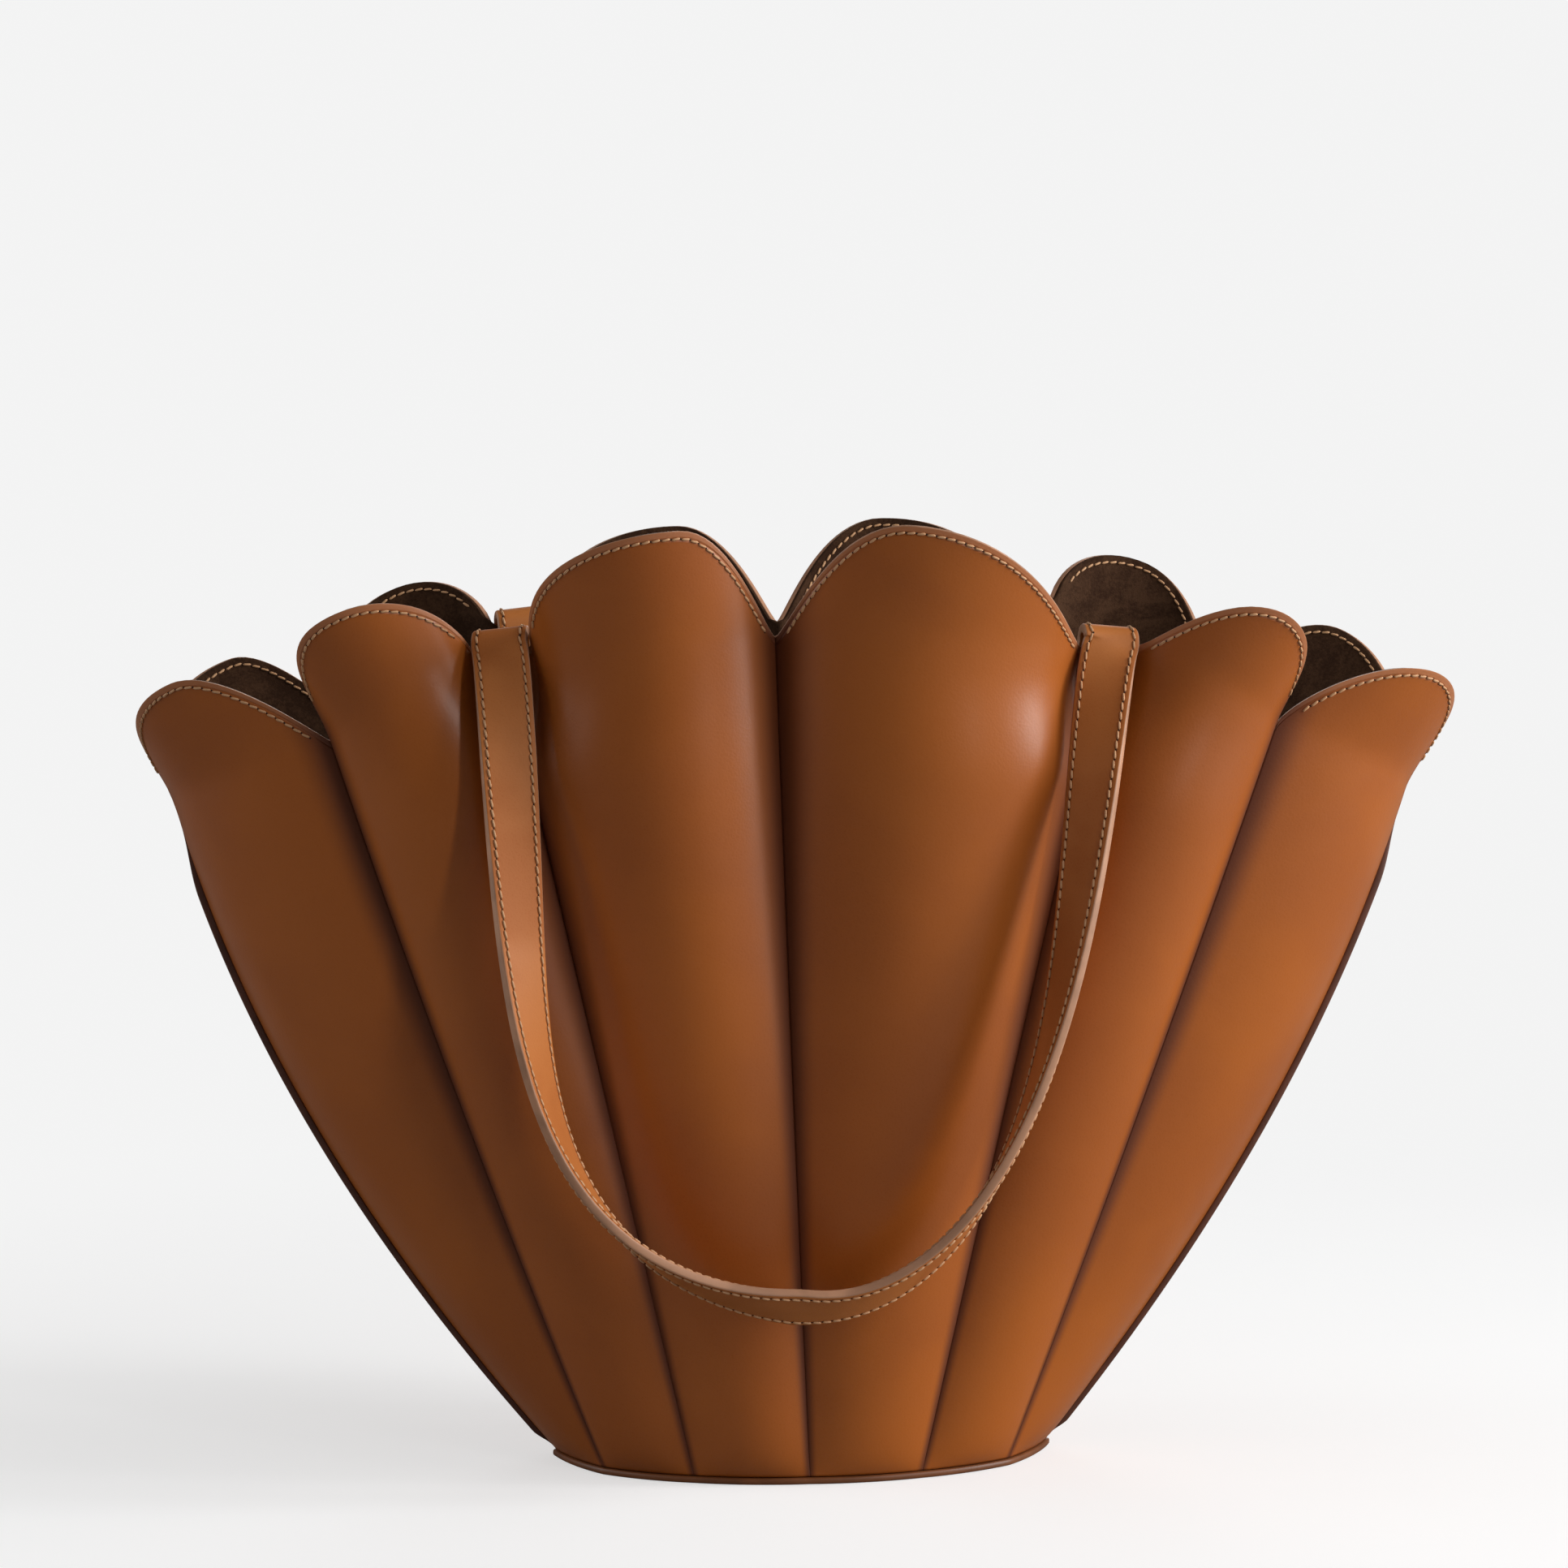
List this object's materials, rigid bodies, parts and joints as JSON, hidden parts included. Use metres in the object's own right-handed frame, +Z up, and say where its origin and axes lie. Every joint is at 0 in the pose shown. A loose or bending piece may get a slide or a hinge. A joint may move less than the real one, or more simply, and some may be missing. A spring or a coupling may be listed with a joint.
{
  "type": "tote bag",
  "caption": "Open-top leather tote bag whose wall is fluted petals with a scalloped rim, on an oval base, with two hanging strap handles.",
  "frame": {"origin": "centre of the underside of the oval base, on the surface that the bag stands on", "axes": "+Z up, +X to the right along the mouth as seen from the front, the front faces -Y"},
  "size_m": [0.4338, 0.2051, 0.3117],
  "materials": {
    "outer_leather": "smooth, soft sheen",
    "strap_leather": "smooth, satin",
    "edge_leather": "painted edge",
    "suede": "napped suede"
  },
  "bodies": {
    "root": {"front_petal_1": "outer_leather", "front_petal_2": "outer_leather", "front_petal_3": "outer_leather", "front_petal_4": "outer_leather", "front_petal_5": "outer_leather", "front_petal_6": "outer_leather", "back_petal_1": "outer_leather", "back_petal_2": "outer_leather", "back_petal_3": "outer_leather", "back_petal_4": "outer_leather", "back_petal_5": "outer_leather", "back_petal_6": "outer_leather", "front_lining_1": "suede", "front_lining_2": "suede", "front_lining_3": "suede", "front_lining_4": "suede", "front_lining_5": "suede", "front_lining_6": "suede", "back_lining_1": "suede", "back_lining_2": "suede", "back_lining_3": "suede", "back_lining_4": "suede", "back_lining_5": "suede", "back_lining_6": "suede", "base_lining": "suede", "base_panel": "outer_leather", "base_piping": "edge_leather", "side_seam_left": "edge_leather", "side_seam_right": "edge_leather", "front_handle": "strap_leather", "back_handle": "strap_leather"}
  },
  "joints": []
}
